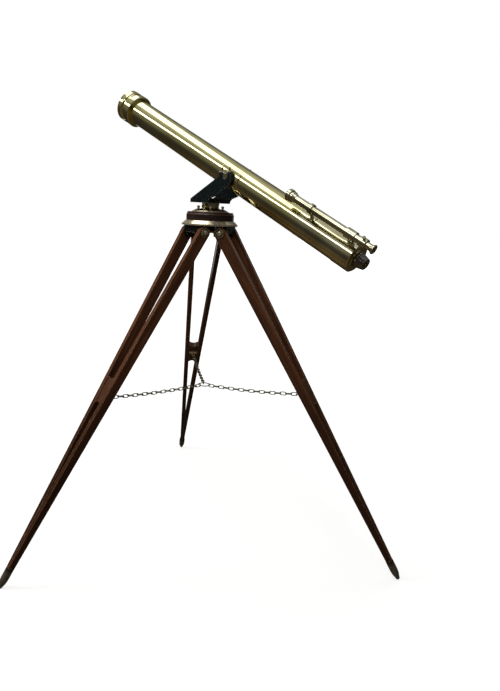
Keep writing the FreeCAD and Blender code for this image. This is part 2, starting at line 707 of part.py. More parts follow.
def build_yoke():
    """Cast yoke: a base plate and two cheeks that lean out towards the eyepiece."""
    body = new_body("yoke")
    floor = dim("yoke_floor")
    deck = floor + dim("yoke_base")
    rear = dim("yoke_rear")
    front = dim("yoke_front")
    pivot = (dim("pivot_x"), dim("pivot_z"))
    head = dim("head_half")
    crown = pivot[1] + dim("head_rise")
    slot = dim("journal_radius") + dim("running_gap")
    side = new_sketch(body, "XZ_Plane")
    hollow = front + 32.0
    draw(side, [
        (rear, floor), (front, floor), (front, floor + 7.0), (front + 9.0, floor + 17.0),
        (hollow, floor + 24.5), (pivot[0] + 17.5, pivot[1] - 30.5),
        (pivot[0] + head, pivot[1] - 12.0), (pivot[0] + head, crown),
        (pivot[0] + slot, crown), (pivot[0] + slot, pivot[1]), Arc(pivot, clockwise=True),
        (pivot[0] - slot, pivot[1]), (pivot[0] - slot, crown),
        (pivot[0] - head, crown), (pivot[0] - head, pivot[1] + 2.0),
        (pivot[0] - 43.5, pivot[1] - 8.5), (rear + 5.0, deck), (rear, deck - 4.0)])
    outer = dim("cheek_gap") + dim("cheek_thickness")
    pad(body, side, 2 * outer, symmetric=True)
    between = new_sketch(body, "YZ_Plane")
    gap = dim("cheek_gap")
    draw(between, [(-gap, deck), (gap, deck), (gap, crown + 10.0), (-gap, crown + 10.0)])
    cut_through(body, between)
    keep("yoke", body)

    screws = []
    for name, side_sign in (("trunnion_cap_near", -1), ("trunnion_cap_far", 1)):
        cap = new_body(name)
        sketch = new_sketch(cap, "XZ_Plane")
        tongue = slot - 0.1
        reach = dim("journal_radius") + 0.3
        half = dim("cap_half")
        rise = dim("head_rise")
        draw(sketch, [
            (-half, rise), (-tongue, rise), (-tongue, reach), (tongue, reach), (tongue, rise),
            (half, rise), (half, rise + 4.0), (half / 2, rise + 5.0), Arc((0, -3.0)),
            (-half / 2, rise + 5.0), (-half, rise + 4.0)])
        pad(cap, sketch, dim("cheek_thickness"), symmetric=True)
        middle = side_sign * (dim("cheek_gap") + dim("cheek_thickness") / 2).value
        keep(name, cap, place(number("pivot_x"), middle, number("pivot_z")))
        tall = dim("cap_screw_height")
        screw = turn("cap_screw", [(0, 0), (3.0, 0), (3.0, tall - 0.8), (2.2, tall), (0, tall)])
        for side_step in (-1, 1):
            screws.append(copy_of(screw, place(
                number("pivot_x") + side_step * number("cap_screw_offset"), middle,
                number("pivot_z") + number("head_rise") + 5.0)))
    group("cap_screws", screws)


# ------------------------------------------------------------------ telescope
def scope_placement():
    """Scope frame: origin on the altitude axis, Z to the object glass, X square to it and upwards."""
    tilt = FreeCAD.Rotation(Vector(0, 1, 0), number("altitude") - 90)
    return place(number("pivot_x"), 0, number("pivot_z"), tilt)


def finder_placement():
    """Finder frame: Z along the finder's axis, X away from the optical axis."""
    turned = FreeCAD.Rotation(Vector(0, 0, 1), -number("finder_turn"))
    local = FreeCAD.Placement(turned.multVec(Vector(number("finder_offset"), 0, 0)), turned)
    return scope_placement().multiply(local)


def in_scope(label, item):
    return keep(label, item, scope_placement())


def tube(label, outer, inner, rear, front):
    return turn(label, [(inner, rear), (outer, rear), (outer, front), (inner, front)])


def build_object_glass():
    rear = dim("cell_rear")
    front = dim("cell_front")
    rim = dim("cell_radius")
    neck = dim("cell_neck_radius")
    tube_outer = dim("tube_radius") + 0.05
    seat = dim("glass_radius") + 0.1
    split = rear + 27.0
    lip = split + 19.0

    in_scope("counter_cell", turn("counter_cell", [
        (tube_outer, rear), (rim - 3.0, rear), (rim, rear + 3.0), (rim, split - 3.0),
        (rim - 1.5, split), (seat - 1.0, split), (seat - 1.0, split - 4.0),
        (tube_outer, split - 4.0)]))
    in_scope("object_cell", turn("object_cell", [
        (seat - 2.0, split + 0.1), (neck, split + 0.1), (neck, lip - 2.0), (rim - 1.5, lip),
        (rim, lip + 3.0), (rim, front - 8.0), (rim - 1.5, front - 6.5), (rim, front - 5.0),
        (rim, front - 2.0), (rim - 2.0, front), (rim - 5.0, front), (seat + 5.0, front - 14.0),
        (seat + 5.0, front - 22.5), (seat, front - 22.5), (seat, split + 5.0),
        (seat - 2.0, split + 5.0)]))
    in_scope("retaining_ring", tube("retaining_ring", seat + 4.9, seat - 2.0,
                                    front - 22.4, front - 17.0))

    glass = dim("glass_radius")
    foot = split + 5.2
    in_scope("flint_lens", turn("flint_lens", [
        (0, foot + 3.0), (glass, foot), (glass, foot + 9.0), (0, foot + 6.0)]))
    in_scope("crown_lens", turn("crown_lens", [
        (0, foot + 6.3), (glass, foot + 9.3), (glass, foot + 14.0), (0, foot + 18.0)]))

    screw = turn("cell_screw", [(0, split + 0.1), (2.2, split + 0.1), (2.2, lip - 2.1), (0, lip - 2.1)])
    screws = []
    for count in range(3):
        for shift in (-4.0, 4.0):
            angle = math.radians(120 * count + 90 + shift)
            radius = number("cell_neck_radius") + 2.4
            spot = Vector(radius * math.cos(angle), radius * math.sin(angle), 0)
            screws.append(copy_of(screw, place(*spot)))
    in_scope("cell_screws", group("cell_screws", screws))


def build_tubes():
    outer = dim("tube_radius")
    inner = outer - dim("tube_wall")
    joint = dim("joint_station")
    tail = dim("tail_station")
    end = dim("tail_end")
    in_scope("main_tube", tube("main_tube", outer, inner, joint, dim("cell_rear") + 22.8))
    in_scope("tail_tube", turn("tail_tube", [
        (inner, tail), (outer, tail), (outer, joint - 4.0), (outer + 0.5, joint - 3.5),
        (outer + 0.5, joint), (inner, joint)]))
    rim = dim("tail_radius")
    guide = dim("draw_radius") + 3.0
    ring_body = turn("tail_ring", [
        (inner - 2.0, tail + 18.0), (inner - 0.05, tail + 18.0), (inner - 0.05, tail), (rim, tail),
        (rim, end + 3.0), (rim - 3.0, end), (guide + 0.05, end), (guide + 0.05, end + 6.0),
        (inner - 2.0, end + 6.0)])
    doc.recompute()
    shaft = new_sketch(ring_body, "YZ_Plane")
    ring(shaft, (pinion_depth(), dim("pinion_station")), 6.05)
    doc.recompute()
    before = ring_body.Shape.Volume
    pocket = ring_body.newObject("PartDesign::Pocket", "bearing_hole")
    pocket.Profile = shaft
    pocket.Type = "ThroughAll"
    slot = new_sketch(ring_body, "XY_Plane", end - 1.0)
    draw(slot, [(-3.8, 0), (3.8, 0), (3.8, guide + 1.6), (-3.8, guide + 1.6)])
    groove = ring_body.newObject("PartDesign::Pocket", "rack_slot")
    groove.Profile = slot
    groove.setExpression("Length", term(10.0).text)
    groove.Reversed = True
    doc.recompute()
    if ring_body.Shape.Volume > before - 200:
        raise RuntimeError("the tail ring's holes removed nothing")
    in_scope("tail_ring", ring_body)

    sleeve = turn("draw_guide", [
        (dim("draw_radius") + dim("running_gap"), end + 110.0), (guide, end + 110.0),
        (guide, end), (guide + 3.0, end), (guide + 3.0, end - 3.0),
        (dim("draw_radius") + dim("running_gap"), end - 3.0)])
    doc.recompute()
    before = sleeve.Shape.Volume
    slot = new_sketch(sleeve, "XY_Plane", end - 4.0)
    draw(slot, [(-3.6, 0), (3.6, 0), (3.6, guide + 1.2), (-3.6, guide + 1.2)])
    groove = sleeve.newObject("PartDesign::Pocket", "rack_slot")
    groove.Profile = slot
    groove.Type = "ThroughAll"
    groove.Reversed = True
    doc.recompute()
    if sleeve.Shape.Volume > before - 200:
        raise RuntimeError("the guide's slot removed nothing")
    in_scope("draw_guide", sleeve)


def rack_root():
    return dim("draw_radius") + 1.4


def pinion_depth():
    """Pinion axis from the optical axis: one pitch radius beyond the rack's pitch line."""
    return rack_root() + 1.25 * dim("tooth_module") + dim("tooth_module") * dim("pinion_teeth") / 2


def build_focuser():
    """Draw tube, rack and the eyepiece that slide together, and the pinion that drives them."""
    draw_tube = dim("draw_radius")
    end = dim("tail_end")
    in_scope("draw_tube", tube("draw_tube", draw_tube, dim("draw_inner"), end - 3.3, dim("draw_front")))

    size = number("tooth_module")
    pitch = math.pi * size
    rack = new_body("rack")
    sketch = new_sketch(rack, "YZ_Plane")
    root = rack_root()
    base = draw_tube + 0.1
    first = dim("pinion_station") - 3 * pitch
    teeth = 28
    outline = [(base, first - pitch / 2)]
    for count in range(teeth):
        middle = first + count * pitch
        outline += [(root, middle - 0.36 * pitch), (root + 2.1 * size, middle - 0.11 * pitch),
                    (root + 2.1 * size, middle + 0.11 * pitch), (root, middle + 0.36 * pitch)]
    outline.insert(1, (root, first - pitch / 2))
    outline += [(root, first + (teeth - 0.5) * pitch), (base, first + (teeth - 0.5) * pitch)]
    draw(sketch, outline)
    pad(rack, sketch, 6.0, symmetric=True)
    in_scope("rack", rack)

    in_scope("eyepiece", turn("eyepiece", [
        (8.0, dim("eyepiece_end")), (17.0, dim("eyepiece_end")), (18.8, dim("eyepiece_end") + 1.5),
        (19.2, dim("eyepiece_end") + 5.0), (draw_tube + 0.8, end - 11.5),
        (draw_tube + 2.5, end - 10.5), (draw_tube + 2.5, end - 4.4), (draw_tube + 1.0, end - 3.4),
        (dim("draw_inner") - 0.05, end - 3.4), (dim("draw_inner") - 0.05, end + 12.0),
        (19.0, end + 12.0), (14.0, end - 28.0), (12.0, dim("eyepiece_end") + 5.0),
        (8.0, dim("eyepiece_end") + 3.0)]))
    in_scope("eye_lens", turn(
        "eye_lens",
        [(0, end - 27.0), (11.0, end - 25.0), (11.0, end - 23.0), (0, end - 20.0)],
        [(0, end + 2.0), (17.0, end + 5.0), (17.0, end + 7.0), (0, end + 10.0)]))

    teeth = int(number("pinion_teeth"))
    radius = number("tooth_module") * teeth / 2
    shaft = turn("focus_shaft", [
        (0, -9.0), (2.5, -9.0), (2.5, 44.2), (9.0, 44.2), (12.0, 45.5), (12.0, 52.5),
        (10.5, 54.0), (0, 54.0)])
    doc.recompute()
    tooth = new_sketch(shaft, "XY_Plane", -3.5)
    outline = []
    for count in range(teeth):
        middle = 360 / teeth * count
        outline += [polar(radius - 1.2 * size, middle - 8.6), polar(radius, middle - 5.4),
                    polar(radius + 0.85 * size, middle - 2.2), polar(radius + 0.85 * size, middle + 2.2),
                    polar(radius, middle + 5.4), polar(radius - 1.2 * size, middle + 8.6)]
    draw(tooth, outline)
    pad(shaft, tooth, 7.0)
    downwards = FreeCAD.Rotation(Vector(0, 1, 0), -90)
    local = FreeCAD.Placement(
        Vector(0, pinion_depth().value, number("pinion_station")), downwards)
    keep("focus_knob", shaft, scope_placement().multiply(local))
    bearing = turn("pinion_bearing", [
        (2.5 + dim("running_gap"), 12.0), (6.0, 12.0), (6.0, 43.8),
        (2.5 + dim("running_gap"), 43.8)])
    keep("pinion_bearing", bearing, scope_placement().multiply(local))


def build_saddles():
    """Curved plates on the tube's sides with the trunnion journals on them."""
    inner = dim("tube_radius") + 0.15
    outer = inner + 2.8
    screw = turn("saddle_screw", [(0, 0), (3.0, 0), (3.0, 1.0), (2.0, 1.6), (0, 1.6)])
    screws = []
    for name, half_turn in (("saddle_near", 0), ("saddle_far", 180)):
        body = new_body(name)
        plate = new_sketch(body, "XY_Plane")
        draw(plate, [polar(outer, -126), Arc((0, 0)), polar(outer, -54), polar(inner, -54),
                     Arc((0, 0), clockwise=True), polar(inner, -126)])
        pad(body, plate, 96.0, symmetric=True)
        boss = new_sketch(body, "XZ_Plane", inner + 0.6)
        ring(boss, (0, 0), 15.0)
        pad(body, boss, dim("cheek_gap") - inner - 1.0)
        journal = new_sketch(body, "XZ_Plane", inner + 0.6)
        ring(journal, (0, 0), dim("journal_radius"))
        pad(body, journal, dim("cheek_gap") + dim("cheek_thickness") - inner - 1.6)
        turned = FreeCAD.Rotation(Vector(0, 0, 1), half_turn)
        keep(name, body, scope_placement().multiply(place(rotation=turned)))
        for spread in (-118, -62):
            for station in (-38.0, 38.0):
                angle = math.radians(spread + half_turn)
                out = Vector(math.cos(angle), math.sin(angle), 0)
                lay = FreeCAD.Rotation(Vector(0, 0, 1), out)
                spot = out * (outer.value + 0.1) + Vector(0, 0, station)
                screws.append(copy_of(screw, FreeCAD.Placement(spot, lay)))
    in_scope("saddle_screws", group("saddle_screws", screws))


# ------------------------------------------------------------------ finder
def build_bracket(label, length, seat):
    """Collar round the finder, a web and a curved foot seated on the telescope."""
    centre = (-dim("finder_offset"), term(0))
    inner = seat + 0.15
    outer = inner + 2.6
    collar_bore = dim("finder_radius") + 0.05
    body = new_body(label)
    foot = new_sketch(body, "XY_Plane")
    draw(foot, [polar(outer, -15, centre), Arc(centre), polar(outer, 15, centre),
                polar(inner, 15, centre), Arc(centre, clockwise=True), polar(inner, -15, centre)])
    pad(body, foot, length + 14.0, symmetric=True)
    web = new_sketch(body, "XY_Plane")
    foot_top = centre[0] + outer - 0.5
    draw(web, [(foot_top, -6.5), (foot_top + 6.0, -4.0), (-15.0, -3.5), (-13.5, -6.5),
               (-13.5, 6.5), (-15.0, 3.5), (foot_top + 6.0, 4.0), (foot_top, 6.5)])
    pad(body, web, length * 0.6, symmetric=True)
    collar = new_sketch(body, "XY_Plane")
    ring(collar, (0, 0), collar_bore + 3.6)
    ring(collar, (0, 0), collar_bore)
    pad(body, collar, length, symmetric=True)
    return body


def build_finder():
    def in_finder(label, item):
        return keep(label, item, finder_placement())

    front = dim("finder_front")
    rear = dim("finder_rear")
    radius = dim("finder_radius")
    inner = radius - 1.2
    in_finder("finder_tube", tube("finder_tube", radius, inner, rear, front - 14.0))
    in_finder("finder_cell", turn("finder_cell", [
        (radius + 0.05, front - 14.0), (17.4, front - 14.0), (19.6, front - 12.0), (19.6, front - 2.0),
        (18.4, front), (15.0, front), (15.0, front - 6.0), (12.0, front - 6.0), (12.0, front - 11.0),
        (radius - 1.4, front - 13.9)], [
        (radius + 0.05, front - 34.0), (radius + 1.2, front - 33.0), (15.6, front - 24.0),
        (17.4, front - 23.0), (17.4, front - 18.0), (15.8, front - 17.0), (15.8, front - 14.0),
        (radius + 0.05, front - 14.0)]))
    in_finder("finder_lens", turn("finder_lens", [
        (0, front - 5.2), (14.6, front - 5.8), (14.6, front - 3.0), (0, front - 1.4)]))

    brackets = (("finder_front_bracket", "finder_front_post", 11.0, "tube_radius"),
                ("finder_rear_bracket", "finder_rear_post", 34.0, "tail_radius"))
    for name, station, length, seat in brackets:
        bracket = build_bracket(name, term(length), dim(seat))
        keep(name, bracket, finder_placement().multiply(place(z=number(station))))

    collar = turn("finder_collar", [
        (radius + 0.05, rear + 1.0), (15.6, rear + 1.0), (15.6, rear - 21.0), (14.6, rear - 22.0),
        (10.6, rear - 22.0), (10.6, rear - 0.1), (radius + 0.05, rear - 0.1)])
    doc.recompute()
    tapped = new_sketch(collar, "YZ_Plane")
    ring(tapped, (0, rear - 12.0), 2.05)
    doc.recompute()
    hole = collar.newObject("PartDesign::Pocket", "screw_hole")
    hole.Profile = tapped
    hole.Type = "ThroughAll"
    hole.Reversed = True
    in_finder("finder_collar", collar)

    screw = turn("finder_screw", [
        (0, 10.9), (2.0, 10.9), (2.0, 19.0), (4.6, 19.4), (4.6, 27.4), (4.0, 28.0), (0, 28.0)])
    outwards = FreeCAD.Rotation(Vector(0, 1, 0), 90)
    local = place(z=(rear - 12.0).value, rotation=outwards)
    keep("finder_screw", screw, finder_placement().multiply(local))

    end = dim("finder_end")
    in_finder("finder_eyepiece", turn("finder_eyepiece", [
        (4.0, end), (14.3, end), (15.2, end + 1.0), (15.2, end + 4.0), (13.4, end + 5.5),
        (10.5, end + 13.0), (10.5, rear + 36.0), (9.3, rear + 36.0), (9.3, end + 30.0),
        (7.0, end + 26.0), (7.0, end + 4.0), (4.0, end + 3.0)]))


build_head()
build_hinges()
build_legs()
build_chain()
build_clamp()
build_spindle()
build_yoke()
build_object_glass()
build_tubes()
build_focuser()
build_saddles()
build_finder()
doc.recompute()

# ------------------------------------------------------------------ checks and export
for item in doc.Objects:
    if "Invalid" in item.State or "Error" in item.State:
        raise RuntimeError(f"{item.Name} ({item.Label}) failed: {item.State}")
for label, item in PARTS.items():
    shape = item.Shape
    if shape.isNull() or not shape.isValid() or not shape.Solids:
        raise RuntimeError(f"{label} has no valid solid")
os.makedirs("parts", exist_ok=True)
for label, item in PARTS.items():
    item.Shape.exportStep(f"parts/{label}.step")
print(len(PARTS), "sub-parts")
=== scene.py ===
import json
import math

import bmesh
import bpy
import numpy as np
from mathutils import Matrix, Vector


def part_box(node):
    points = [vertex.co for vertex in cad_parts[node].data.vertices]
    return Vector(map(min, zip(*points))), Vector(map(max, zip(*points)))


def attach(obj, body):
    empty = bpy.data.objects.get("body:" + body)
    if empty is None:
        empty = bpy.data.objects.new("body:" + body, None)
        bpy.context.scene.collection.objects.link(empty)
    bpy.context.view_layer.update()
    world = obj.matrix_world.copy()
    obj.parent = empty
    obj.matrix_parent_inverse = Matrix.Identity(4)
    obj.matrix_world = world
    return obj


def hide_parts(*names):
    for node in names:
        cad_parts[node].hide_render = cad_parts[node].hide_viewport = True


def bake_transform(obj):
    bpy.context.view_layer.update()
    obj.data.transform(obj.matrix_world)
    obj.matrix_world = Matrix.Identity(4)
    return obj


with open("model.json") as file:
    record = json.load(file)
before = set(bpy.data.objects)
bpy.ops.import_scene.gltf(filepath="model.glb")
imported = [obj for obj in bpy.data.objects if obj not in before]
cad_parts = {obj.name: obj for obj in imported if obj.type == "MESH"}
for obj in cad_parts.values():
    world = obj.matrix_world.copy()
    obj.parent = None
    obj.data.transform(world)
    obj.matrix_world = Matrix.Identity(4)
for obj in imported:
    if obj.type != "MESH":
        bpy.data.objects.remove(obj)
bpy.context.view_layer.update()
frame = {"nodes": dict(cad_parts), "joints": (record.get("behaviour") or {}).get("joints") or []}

NODES = frame["nodes"]
JOINTS = {joint["name"]: joint for joint in frame["joints"]}
MM = 0.001
UP = Vector((0, 0, 1))
ACROSS = Vector((1, 0, 0))

# ------------------------------------------------------------------ places taken from the frame
OPTICAL = -Vector(JOINTS["focus_slide"]["axis"]).normalized()      # towards the object glass
ABOVE = Vector((0, 1, 0)).cross(OPTICAL).normalized()              # square to the tube, upwards


def middle(node):
    """The middle of a CAD node's box."""
    low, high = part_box(node)
    return (low + high) / 2


def axes_at(origin, along, across):
    """A frame with Z along and X as near to across as it can be."""
    z_axis = along.normalized()
    x_axis = (across - z_axis * across.dot(z_axis)).normalized()
    matrix = Matrix((x_axis, z_axis.cross(x_axis), z_axis)).transposed().to_4x4()
    matrix.translation = origin
    return matrix


WELD = 0.002 * MM      # points closer than this belong together


def solids(node):
    """The points of each separate solid in a CAD node."""
    mesh = bmesh.new()
    mesh.from_mesh(NODES[node].data)
    bmesh.ops.remove_doubles(mesh, verts=mesh.verts, dist=WELD)
    groups, seen = [], set()
    for start in mesh.verts:
        if start in seen:
            continue
        seen.add(start)
        found, waiting = [], [start]
        while waiting:
            vert = waiting.pop()
            found.append(tuple(vert.co))
            for edge in vert.link_edges:
                other = edge.other_vert(vert)
                if other not in seen:
                    seen.add(other)
                    waiting.append(other)
        groups.append(np.array(found))
    mesh.free()
    return groups


def corners(node):
    """All the points of a CAD node."""
    return np.array([tuple(vert.co) for vert in NODES[node].data.vertices])


def span(points, direction):
    """Lowest and highest place of the points along a direction."""
    places = points @ np.array(direction)
    return float(places.min()), float(places.max())


def centre_of(points, axes):
    """The middle of the points' box along three directions."""
    total = Vector((0, 0, 0))
    for axis in axes:
        low, high = span(points, axis)
        total += Vector(axis) * ((low + high) / 2)
    return total


# ------------------------------------------------------------------ shader helpers
class Shader:
    """Short calls for building one material's nodes."""

    def __init__(self, name):
        self.material = bpy.data.materials.new(name)
        self.material.use_nodes = True
        self.tree = self.material.node_tree
        self.surface = self.tree.nodes["Principled BSDF"]

    def node(self, kind, **settings):
        item = self.tree.nodes.new(kind)
        for key, value in settings.items():
            setattr(item, key, value)
        return item

    def link(self, source, target):
        self.tree.links.new(source, target)

    def set(self, **values):
        for key, value in values.items():
            self.surface.inputs[key.replace("_", " ")].default_value = value

    def position(self, matrix=None, scale=(1, 1, 1)):
        """Object coordinates, turned into another frame and scaled."""
        place = self.node("ShaderNodeTexCoord").outputs["Object"]
        if matrix is not None:
            turn = self.node("ShaderNodeMapping", vector_type="POINT")
            inverse = matrix.inverted()
            turn.inputs["Rotation"].default_value = inverse.to_euler("XYZ")
            turn.inputs["Location"].default_value = inverse.translation
            self.link(place, turn.inputs["Vector"])
            place = turn.outputs["Vector"]
        size = self.node("ShaderNodeMapping")
        size.inputs["Scale"].default_value = scale
        self.link(place, size.inputs["Vector"])
        return size.outputs["Vector"]

    def noise(self, vector, scale, detail=4.0, roughness=0.55, distortion=0.0):
        item = self.node("ShaderNodeTexNoise")
        item.inputs["Scale"].default_value = scale
        item.inputs["Detail"].default_value = detail
        item.inputs["Roughness"].default_value = roughness
        item.inputs["Distortion"].default_value = distortion
        self.link(vector, item.inputs["Vector"])
        return item.outputs["Fac"]

    def ramp(self, value, *stops):
        item = self.node("ShaderNodeValToRGB")
        elements = item.color_ramp.elements
        while len(elements) < len(stops):
            elements.new(0.5)
        for element, (place, color) in zip(elements, stops):
            element.position = place
            element.color = (*color, 1)
        self.link(value, item.inputs["Fac"])
        return item.outputs["Color"]

    def remap(self, value, low, high, from_low=0.0, from_high=1.0):
        item = self.node("ShaderNodeMapRange")
        item.inputs["From Min"].default_value = from_low
        item.inputs["From Max"].default_value = from_high
        item.inputs["To Min"].default_value = low
        item.inputs["To Max"].default_value = high
        self.link(value, item.inputs["Value"])
        return item.outputs["Result"]

    def mix(self, factor, first, second):
        item = self.node("ShaderNodeMix", data_type="RGBA")
        for value, socket in ((factor, item.inputs[0]), (first, item.inputs[6]),
                              (second, item.inputs[7])):
            if isinstance(value, float):
                socket.default_value = value
            elif isinstance(value, tuple):
                socket.default_value = (*value, 1)
            else:
                self.link(value, socket)
        return item.outputs[2]

    def edge_mask(self, distance):
        """1 near convex edges and 0 elsewhere, from a bevelled normal."""
        bevel = self.node("ShaderNodeBevel", samples=4)
        bevel.inputs["Radius"].default_value = distance
        geometry = self.node("ShaderNodeNewGeometry")
        dot = self.node("ShaderNodeVectorMath", operation="DOT_PRODUCT")
        self.link(bevel.outputs["Normal"], dot.inputs[0])
        self.link(geometry.outputs["Normal"], dot.inputs[1])
        return self.remap(dot.outputs["Value"], 1.0, 0.0, 0.86, 0.995)

    def bump(self, height, strength, distance):
        item = self.node("ShaderNodeBump")
        item.inputs["Strength"].default_value = strength
        item.inputs["Distance"].default_value = distance
        self.link(height, item.inputs["Height"])
        self.link(item.outputs["Normal"], self.surface.inputs["Normal"])

    def color(self, output):
        self.link(output, self.surface.inputs["Base Color"])

    def rough(self, output):
        self.link(output, self.surface.inputs["Roughness"])


def darker(color, factor):
    """A color with each part multiplied by a factor."""
    return tuple(part * factor for part in color)


# ------------------------------------------------------------------ materials
def brass(name, matrix, clean, tarnish, rough_low, rough_high, turned=True, metal=1.0):
    """Lacquered brass: fine rings from the lathe, clouds of tarnish and small spots."""
    shader = Shader(name)
    place = shader.position(matrix)
    clouds = shader.noise(place, 7.0, 6.0, 0.62, 0.4)
    spots = shader.noise(place, 210.0, 3.0, 0.7)
    tone = shader.ramp(clouds, (0.32, tarnish), (0.62, clean))
    flecks = shader.remap(spots, 0.0, 0.6, 0.62, 0.80)
    shader.color(shader.mix(flecks, tone, darker(tarnish, 0.3)))
    shader.set(Metallic=metal)
    shader.rough(shader.remap(clouds, rough_high, rough_low, 0.3, 0.7))
    if turned:
        rings = shader.noise(shader.position(matrix, (0.4, 0.4, 700.0)), 1.0, 3.0)
        shader.bump(rings, 0.05, 0.0002)
    else:
        shader.bump(spots, 0.10, 0.0003)
    return shader.material


def wood(name, matrix, light, dark, grain_scale, floor_shade=0.0):
    """Varnished hardwood with its grain along the matrix's Z axis, with painted shade darkening it
    towards the floor and painted highlights on its edges.
    """
    shader = Shader(name)
    drawn = shader.position(matrix, (1.0, 1.0, 0.045))
    fibre = shader.noise(drawn, grain_scale, 8.0, 0.65, 0.6)
    pores = shader.noise(shader.position(matrix, (1.0, 1.0, 0.02)), grain_scale * 6.0, 3.0, 0.7)
    broad = shader.noise(drawn, grain_scale * 0.22, 2.0, 0.5, 0.3)
    between = tuple((a + b) / 2 for a, b in zip(light, dark))
    tone = shader.ramp(fibre, (0.30, dark), (0.52, between), (0.72, light))
    tone = shader.mix(shader.remap(broad, 0.0, 0.55, 0.35, 0.75), tone, dark)
    tone = shader.mix(shader.remap(pores, 0.0, 0.7, 0.56, 0.72), tone, darker(dark, 0.4))
    # painted shade: the wood darkens towards the floor, where the legs get less light
    split = shader.node("ShaderNodeSeparateXYZ")
    shader.link(shader.position(matrix), split.inputs["Vector"])
    floor_shade_mask = shader.remap(split.outputs["Z"], floor_shade, 0.0, -0.95, -0.50)
    tone = shader.mix(floor_shade_mask, tone, darker(dark, 0.5))
    # painted highlight: a lighter colour along the bevelled edges, where they catch the light
    edge_highlight = shader.edge_mask(0.0016)
    shader.color(shader.mix(shader.remap(edge_highlight, 0.0, 0.85), tone, (0.50, 0.25, 0.11)))
    shader.rough(shader.remap(fibre, 0.46, 0.30))
    shader.set(Coat_Weight=0.2, Coat_Roughness=0.20, Specular_IOR_Level=0.25)
    shader.bump(pores, 0.25, 0.0004)
    return shader.material


def black_metal(name, tone, low, high, grain):
    """Japanned or blackened iron with a faint orange-peel surface and painted highlights on its edges.
    """
    shader = Shader(name)
    place = shader.position()
    skin = shader.noise(place, grain, 4.0, 0.6)
    clouds = shader.noise(place, 14.0, 4.0, 0.6)
    # painted highlight: a lighter grey along the edges, where they catch the light
    edge_highlight = shader.edge_mask(0.0014)
    base = shader.ramp(clouds, (0.35, darker(tone, 0.6)), (0.7, tone))
    shader.color(shader.mix(shader.remap(edge_highlight, 0.0, 0.7), base, (0.26, 0.26, 0.25)))
    shader.rough(shader.remap(clouds, high, low, 0.3, 0.7))
    shader.set(Specular_IOR_Level=0.22, Coat_Weight=0.1, Coat_Roughness=0.15)
    shader.bump(skin, 0.25, 0.0004)
    return shader.material


def shoe_bronze(name, matrix, top, tip):
    """Trodden brass: painted shade and a painted dark reflection make it nearly black at the rim;
    rubbed lighter towards the point.
    """
    shader = Shader(name)
    place = shader.position(matrix)
    split = shader.node("ShaderNodeSeparateXYZ")
    shader.link(place, split.inputs["Vector"])
    # painted shade and dark reflection at the rim, fading into the rubbed, lighter point
    rim_shade_and_rub = shader.remap(split.outputs["Z"], 0.0, 1.0, top, tip)
    clouds = shader.noise(place, 45.0, 5.0, 0.65)
    tone = shader.mix(rim_shade_and_rub, (0.035, 0.030, 0.022), (0.15, 0.135, 0.10))
    shader.color(shader.mix(shader.remap(clouds, 0.0, 0.6, 0.42, 0.70), tone, (0.035, 0.028, 0.02)))
    shader.set(Metallic=0.6)
    shader.rough(shader.remap(clouds, 0.55, 0.32, 0.3, 0.7))
    shader.bump(shader.noise(place, 260.0), 0.3, 0.0004)
    return shader.material


def ebonite():
    """Turned black hard rubber, slightly browned."""
    shader = Shader("ebonite")
    clouds = shader.noise(shader.position(), 40.0, 4.0)
    shader.color(shader.ramp(clouds, (0.35, (0.012, 0.008, 0.006)), (0.7, (0.045, 0.030, 0.020))))
    shader.rough(shader.remap(clouds, 0.26, 0.14))
    shader.set(Coat_Weight=1.0, Coat_Roughness=0.08, Coat_IOR=1.8)
    turned = shader.noise(shader.position(SCOPE, (0.5, 0.5, 1500.0)), 1.0)
    shader.bump(turned, 0.15, 0.0002)
    return shader.material


def glass():
    """Old crown glass with a little dust."""
    shader = Shader("lens_glass")
    dust = shader.noise(shader.position(), 220.0, 2.0)
    shader.rough(shader.remap(dust, 0.0, 0.06, 0.5, 0.8))
    shader.set(Base_Color=(0.90, 0.97, 0.94, 1.0), Transmission_Weight=1.0, IOR=1.52)
    return shader.material


def finish(names, material):
    """Give CAD nodes a material, replacing what they came with."""
    for name in names:
        data = NODES[name].data
        data.materials.clear()
        data.materials.append(material)


def soften(names, width, segments=2):
    """Round the edges of CAD nodes a little, so that they catch the light."""
    for name in names:
        bevel = NODES[name].modifiers.new("edges", "BEVEL")
        bevel.width = width
        bevel.segments = segments
        bevel.limit_method = "ANGLE"
        bevel.angle_limit = math.radians(32)


def leg_frame(leg):
    """Leg frame: Z from the shoe up to the hinge, X across the leg."""
    joint = JOINTS[f"leg{leg}_fold"]
    hinge = Vector(joint["pos_m"])
    return axes_at(hinge, hinge - middle(f"leg{leg}_shoe"), Vector(joint["axis"]))


SCOPE = axes_at(middle("main_tube"), OPTICAL, ABOVE)
UPRIGHT = axes_at(middle("head_disc"), UP, ACROSS)
TUBE_BRASS = brass("tube_brass", SCOPE, (0.80, 0.755, 0.42), (0.58, 0.53, 0.27), 0.05, 0.11)
FINDER_BRASS = brass("finder_brass", SCOPE, (0.82, 0.79, 0.60), (0.36, 0.33, 0.20), 0.05, 0.12)
TAIL_BRASS = brass("tail_brass", SCOPE, (0.82, 0.79, 0.55), (0.46, 0.42, 0.25), 0.05, 0.11)
COLUMN_BRASS = brass("column_brass", UPRIGHT, (0.84, 0.74, 0.52), (0.38, 0.30, 0.18), 0.12, 0.24)
HEAD_BRASS = brass("head_brass", UPRIGHT, (0.95, 0.85, 0.63), (0.58, 0.49, 0.34), 0.15, 0.27,
                   metal=0.84)
SCREW_BRASS = brass("screw_brass", UPRIGHT, (0.84, 0.77, 0.56), (0.50, 0.43, 0.28), 0.16, 0.30,
                    turned=False, metal=0.8)
CHAIN_BRASS = brass("chain_brass", UPRIGHT, (0.30, 0.28, 0.19), (0.10, 0.09, 0.06), 0.30, 0.48,
                    turned=False)
